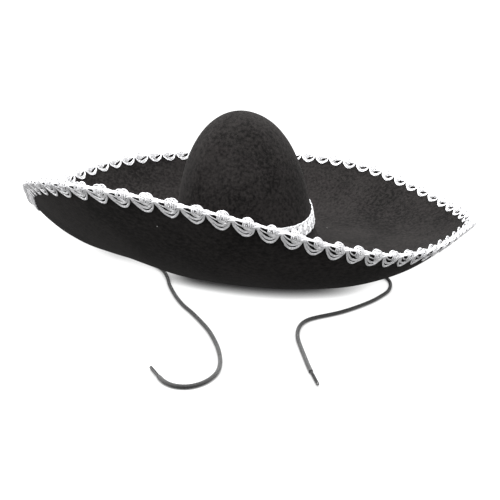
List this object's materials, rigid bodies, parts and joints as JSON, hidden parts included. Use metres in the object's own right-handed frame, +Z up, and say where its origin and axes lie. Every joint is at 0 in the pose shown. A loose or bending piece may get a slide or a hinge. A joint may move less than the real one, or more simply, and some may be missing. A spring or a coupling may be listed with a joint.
{
  "type": "sombrero",
  "caption": "Wide-brimmed black felt hat with a domed crown, curled-up brim, silver braid on rim and crown, and two chin cords with tips.",
  "frame": {"origin": "on the table under the middle of the brim, with the hat standing on the foot of its brim", "axes": "+Z up through the crown, X from one side of the wearer's head to the other, Y from the brim's front to its back"},
  "size_m": [0.6122, 0.7656, 0.1915],
  "materials": {
    "felt": "matte nonwoven felt, fine mottled nap",
    "silver_braid": "shiny metallic gimp cord",
    "sweatband_tape": "ribbed grosgrain tape",
    "cord": "braided lace",
    "aglet": "rolled plastic film"
  },
  "bodies": {
    "root": {"crown": "felt", "brim": "felt", "rim_braid": "silver_braid", "crown_braid": "silver_braid", "sweatband": "sweatband_tape", "chin_cord_left": "cord", "chin_cord_right": "cord", "cord_knot_left": "cord", "cord_knot_right": "cord", "aglet_left": "aglet", "aglet_right": "aglet"}
  },
  "joints": []
}
